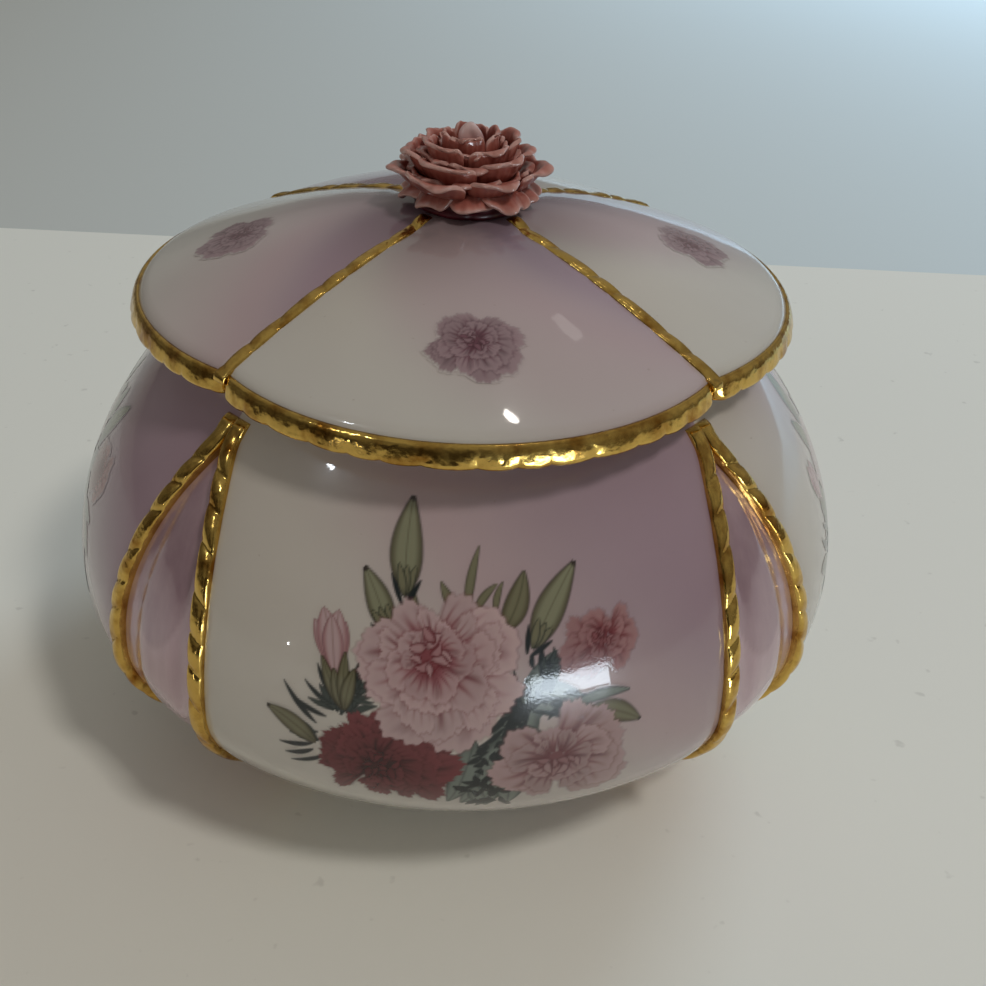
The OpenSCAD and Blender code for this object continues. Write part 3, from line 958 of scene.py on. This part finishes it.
# Tufts: foot, heading, half the fan, count and length
STEM_TUFTS = (
    ((9.8, 43.6), 250, 70, 11, 2.6), ((7.4, 40.0), 235, 80, 15, 2.6),
    ((5.4, 36.4), 235, 80, 17, 2.6), ((3.6, 32.4), 240, 80, 18, 2.6),
    ((2.0, 28.2), 240, 90, 18, 2.4), ((2.6, 24.6), 260, 90, 16, 2.4),
    ((11.4, 39.4), 190, 60, 6, 3.0), ((15.0, 38.6), 170, 60, 5, 2.8),
)
SIDE_TUFTS = (
    ((-16.2, 37.2), 70, 60, 18, 4.6), ((-15.0, 40.0), 50, 60, 12, 3.6),
    ((-17.2, 37.4), 130, 50, 12, 4.0), ((-20.5, 32.5), 165, 32, 12, 4.2),
    ((10.6, 43.4), 60, 60, 12, 2.8),
)

# Closed buds: base, tip, width and bend; the pink bud's petals: way to the tip and width
GREEN_BUDS = (
    ((-8.4, 52.2), (-7.4, 61.6), 3.9, 0.3), ((-10.4, 47.9), (-13.6, 54.3), 3.1, -0.2),
    ((8.0, 46.6), (13.2, 55.0), 3.7, 0.3),
)
PINK_BUD = ((-2.2, 6.4, 3.0), (2.0, 6.8, 3.0), (-1.0, 7.9, 3.4), (1.1, 7.9, 3.2), (0.1, 7.2, 2.6))

# Open flowers: middle, half sizes, heart, rings of petals (count, share of the reach, spread), colours
FLOWERS = (
    ((13.2, 30.4), (10.2, 8.4), (11.6, 31.0), [(7, 1.0, 36), (6, 0.72, 36), (5, 0.45, 40)], BLUSH),
    ((16.8, 45.6), (5.6, 4.2), (17.4, 46.4), [(7, 1.0, 34), (6, 0.66, 36), (4, 0.4, 42)], CORAL),
    ((-10.8, 30.8), (9.9, 7.8), (-12.0, 29.6),
     [(12, 1.0, 24), (10, 0.78, 27), (7, 0.55, 32), (5, 0.34, 40)], WINE),
    ((-3.6, 42.8), (10.9, 9.7), (-5.0, 45.4),
     [(8, 1.0, 34), (8, 0.82, 28), (6, 0.58, 34), (6, 0.38, 38)], PINK),
)
SPRIG_RINGS = [(8, 1.0, 32), (7, 0.76, 32), (6, 0.52, 34), (4, 0.32, 40)]


def paint_foliage(t):
    """Leaves, stems and dark fronds that lie behind the flowers."""
    t.blade((-6.8, 49.5), (-7.9, 53.4), 0.9, OLIVE, OLIVE_DARK)
    t.blade((-8.6, 46.5), (-10.6, 48.6), 0.8, OLIVE, OLIVE_DARK)
    for base, tip, width in SMALL_LEAVES:
        t.blade(base, tip, width, OLIVE, OLIVE_DARK, bend=0.3, outline=0.06)
    t.blade((3.9, 48.2), (6.6, 54.6), 2.9, OLIVE, OLIVE_DARK, bend=-0.5, vein=0.1)
    for base, tip, width in STEM_LEAVES:
        t.blade(base, tip, width, SAGE, SAGE_DARK, bend=0.4, vein=0.12, outline=0.05)
    for tuft in STEM_TUFTS:
        t.wisps(*tuft, 0.8, INK, INK, scatter=2.0)
    for base, tip, width in DARK_FRONDS:
        t.blade(base, tip, width, INK, INK, bend=0.3, outline=0.03)
    for tuft in SIDE_TUFTS:
        t.wisps(*tuft, 0.7, SAGE_DARK, INK)
    t.blade((-20.2, 31.6), (-27.2, 35.4), 2.7, OLIVE, OLIVE_DARK, bend=-0.4, vein=0.1, tip_dark=0.5)
    t.blade((15.6, 37.8), (23.3, 34.4), 2.9, OLIVE, OLIVE_DARK, bend=0.5, vein=0.1, tip_dark=0.4)
    t.blade((13.2, 38.6), (21.4, 39.2), 1.4, SAGE, SAGE_DARK, bend=0.5)


def paint_buds(t):
    """Closed green buds that stand over the big flower, and the opening pink bud at its left."""
    for base, tip, width, bend in GREEN_BUDS:
        t.blade(base, tip, width, BUD_GREEN, OLIVE_DARK, bend=bend, outline=0.2, vein=0.06,
                tip_dark=0.55, fat=0.4)
        foot = np.array(base)
        way = (np.array(tip) - base) / np.linalg.norm(np.array(tip) - base)
        side = np.array([-way[1], way[0]])
        for k in (-1, 0, 1):
            t.blade(foot - 0.5 * way, foot + way * 2.8 + side * k * 1.1, 1.1, OLIVE, INK, outline=0.05)
        for k in (-1, 1):
            start, end = foot - way * 1.4 + side * k * 0.2, foot + way * 1.6 + side * k * 1.9
            t.blade(start, end, 0.6, INK, INK, outline=0.03)
    for dx, dv, width in PINK_BUD:
        t.blade((-17.3, 40.6), (-18.0 + dx, 41.4 + dv), width, PINK["tip"], PINK["mid"],
                bend=0.35 * dx, outline=0.08, vein=0.09, fat=0.62)
    for tip in ((-19.2, 43.8), (-17.6, 42.6), (-16.0, 44.8), (-14.8, 43.0)):
        t.blade((-16.2, 37.4), tip, 1.6, OLIVE, OLIVE_DARK, bend=0.2, vein=0.08)


def paint_bouquet():
    """The bouquet on each side panel; v is the height above the table."""
    t = Transfer((-28.5, 21.5), (24.5, 62.5), 0.2, 3)
    paint_foliage(t)
    paint_buds(t)
    for middle, size, heart, rings, colours in FLOWERS:
        t.carnation(middle, size, heart, rings=rings, **colours)
    return t


def paint_sprig():
    """The single plum carnation on each lid panel; v runs towards the finial."""
    t = Transfer((-7.6, -6.4), (7.6, 6.4), 0.15, 11)
    t.carnation((0, -0.3), (6.8, 5.5), (0.2, 0.4), rings=SPRIG_RINGS, **PLUM)
    return t


def lay_transfer(name, transfer, surface, under, material, body, facing):
    """Puts a transfer on a surface and drops the grid squares that hold no paint."""
    points = turned(surface(transfer.u, transfer.v), facing)
    ground = under(points.reshape(-1, 3))
    cover = transfer.cover.ravel()
    paint = mix(ground, 0 * ground, cover) + transfer.colour.reshape(-1, 3) * cover[:, None]
    rows, columns = transfer.u.shape
    inked = cover.reshape(rows, columns) > 0.004
    keep = inked[:-1, :-1] | inked[1:, :-1] | inked[:-1, 1:] | inked[1:, 1:]
    faces = [f for f, k in zip(grid_faces(rows, columns), keep.ravel()) if k]
    used = np.unique(np.array(faces))
    renumber = np.full(rows * columns, -1)
    renumber[used] = np.arange(len(used))
    faces = [tuple(int(renumber[i]) for i in f) for f in faces]
    make(name, points.reshape(-1, 3)[used], faces, material, body, paint=paint[used],
         outward=False)


def build_transfers(material):
    """A bouquet on each panel of the bowl and a sprig on each panel of the lid, a hair above the glaze."""
    bowl_lift, lid_lift = 0.06, 0.05
    sprig_x = 34.2

    def on_bowl(u, v):
        return polar(outside_r(v) + bowl_lift, u / outside_r(v), v)

    def on_lid(u, v):
        x = sprig_x - v
        return np.stack([x, u, lid_z(x, u) + lid_lift], axis=-1)

    bouquet, sprig = paint_bouquet(), paint_sprig()
    for name, facing in PANELS.items():
        lay_transfer(f"bouquet_{name}", bouquet, on_bowl, bowl_paint, material, "box",
                     facing)
        lay_transfer(f"sprig_{name}", sprig, on_lid, lid_paint, material, "lid", facing)


# ---- setting
def stage_plane(name, corners, colour_left, colour_right, width, roughness, grain):
    """A flat piece of the setting whose colour runs from left to right."""
    mesh = bpy.data.meshes.new(name)
    mesh.from_pydata([tuple(c * MM for c in p) for p in corners], [], [tuple(range(len(corners)))])
    material, tree, shader = new_material(name, Roughness=roughness, IOR=1.4)
    x = node(tree, "ShaderNodeSeparateXYZ", "X", {"Vector": position(tree)})
    side = between(tree, x, -width * MM, width * MM, 0.0, 1.0)
    plain = blend(tree, side, colour_left, colour_right)
    speck = between(tree, noise(tree, 260, 2), 0.7, 0.76, 0.0, grain)
    set_colour(tree, shader, blend(tree, speck, plain, (0.35, 0.33, 0.3)))
    bump(tree, shader, noise(tree, 30, 2), 0.05)
    mesh.materials.append(material)
    piece = bpy.data.objects.new(name, mesh)
    bpy.context.collection.objects.link(piece)


def area_light(name, toward, distance, size, power, colour, at, mirrored):
    """A soft rectangular light, placed by the direction to it from the point that it shines at. A
    mirrored one is only seen as a reflection; any other lights the box but leaves no reflection."""
    way = Vector(toward).normalized()
    data = bpy.data.lights.new(name, "AREA")
    data.shape, data.size, data.size_y = "RECTANGLE", size[0] * MM, size[1] * MM
    data.energy, data.color = power, colour
    light = bpy.data.objects.new(name, data)
    light.location = (Vector(at) + way * distance) * MM
    light.rotation_mode = "QUATERNION"
    light.rotation_quaternion = (-way).to_track_quat("-Z", "Y")
    light.visible_glossy = mirrored
    light.visible_diffuse = not mirrored
    bpy.context.collection.objects.link(light)


def build_stage():
    """A pale table that ends behind the box in a line at a slant, and a backdrop from there on."""
    table_z, backdrop_z, reach = -0.05, -1, 1500
    left_edge, right_edge = 285, 82
    stage_plane("table", [(-reach, -reach, table_z), (reach, -reach, table_z),
                          (reach, right_edge, table_z), (-reach, left_edge, table_z)],
                (0.88, 0.87, 0.8), (0.88, 0.87, 0.82), 400, 0.42, 0.25)
    # The backdrop's colour is painted light: dim warm grey on the left, where the wall is in shade, and
    # pale blue on the right, where the window lights it.
    stage_plane("backdrop", [(-reach, left_edge, backdrop_z), (reach, right_edge, backdrop_z),
                             (reach, reach, backdrop_z), (-reach, reach, backdrop_z)],
                (0.54, 0.5, 0.43), (0.74, 0.86, 0.93), 380, 0.6, 0.0)


def build_world():
    """A dim room that is paler towards the ceiling behind the box on the right."""
    world = bpy.data.worlds.new("room")
    world.use_nodes = True
    tree = world.node_tree
    way = node(tree, "ShaderNodeTexCoord", "Generated")
    toward = node(tree, "ShaderNodeVectorMath", "Value", {0: way, 1: (0.3, 0.35, 0.89)},
                  operation="DOT_PRODUCT")
    patches = add(tree, toward, between(tree, noise(tree, 2.2, 1, vector=way), 0.3, 0.7, -0.35, 0.35))
    share = between(tree, patches, -0.2, 0.9, 0.0, 1.0)
    room = blend(tree, share, (0.07, 0.058, 0.047), (0.64, 0.62, 0.57))
    tree.links.new(room, tree.nodes["Background"].inputs["Color"])
    tree.nodes["Background"].inputs["Strength"].default_value = 0.44
    bpy.context.scene.world = world


def build_lights():
    """Four lights that light the box, and five small ones that only shine in its glaze."""
    warm, cream, sky = (1.0, 0.95, 0.88), (1.0, 0.96, 0.89), (0.85, 0.93, 1.0)
    for light in (
        ("key", (0.37, -0.37, 0.86), 1400, (180, 180), 4.4, cream, (0, 0, 0), False),
        ("window", (0.5, 0.42, 0.76), 1400, (800, 700), 0.5, (0.97, 0.98, 1.0), (0, 0, 40), False),
        ("fill", (-0.66, -0.7, 0.28), 1500, (1600, 1200), 2.3, warm, (0, 0, 40), False),
        ("wall_glow", (0.3, 0.5, 0.8), 700, (480, 480), 7.0, (0.66, 0.85, 1.0), (480, 620, 0), False),
        ("ceiling_spot", (0.15, 0.29, 0.95), 1500, (56, 30), 0.26, warm, (5, -39, 76), True),
        ("ceiling_glow", (0.34, 0.55, 0.77), 1400, (80, 60), 0.02, (1.0, 0.96, 0.9), (14, -20, 80), True),
        ("low_window", (0.465, -0.87, 0.0), 350, (150, 56), 0.46, (0.78, 0.9, 1.0), (15, -60, 29), True),
        ("left_pane", (-0.57, -0.32, 0.75), 1300, (60, 110), 1.0, sky, (-24, -42, 60), True),
        ("left_lamp", (-0.72, -0.69, 0.07), 1300, (20, 20), 0.09, (1.0, 1.0, 1.0), (-34, -51, 40), True),
    ):
        area_light(*light)


def build_camera():
    """The photograph's view: a phone close to the box, turned a little to the left and tilted."""
    azimuth, elevation, roll = math.radians(-4.0), math.radians(33.96), math.radians(2.82)
    target, distance = Vector((5.76, -0.4, 31.62)), 205.02
    right = Vector((math.cos(azimuth), math.sin(azimuth), 0))
    back = Vector((math.sin(azimuth) * math.cos(elevation), -math.cos(azimuth) * math.cos(elevation),
                   math.sin(elevation)))
    up = back.cross(right)
    across = math.cos(roll) * right + math.sin(roll) * up
    upright = -math.sin(roll) * right + math.cos(roll) * up
    data = bpy.data.cameras.new("phone")
    data.lens, data.sensor_width = 43.38, 36
    data.clip_start, data.clip_end = 0.01, 20
    camera = bpy.data.objects.new("phone", data)
    turn = Matrix((across, upright, back)).transposed().to_4x4()
    camera.matrix_world = Matrix.Translation((target + back * distance) * MM) @ turn
    bpy.context.collection.objects.link(camera)
    bpy.context.scene.camera = camera


def build_box():
    """Every piece of the box, in its own material."""
    bowl_coat = painted_glaze("bowl_porcelain", 0.0)
    lid_coat = painted_glaze("lid_porcelain", 0.0)
    print_coat = painted_glaze("printed_transfer", 0.013)
    gold = bright_gold("bright_gold")
    build_bowl(bowl_coat)
    build_pleats(lustre("pleat_lustre"))
    build_cords(gold)
    build_lid(lid_coat)
    build_rim(gold)
    build_lid_cords(gold)
    petals = petal_glaze("petal_glaze")
    build_calyx(calyx_glaze("calyx_glaze"))
    build_petals(petals)
    build_heart(petals)
    build_transfers(print_coat)


build_camera()
build_stage()
build_world()
build_lights()
build_box()
bpy.context.scene.view_settings.view_transform = "Standard"
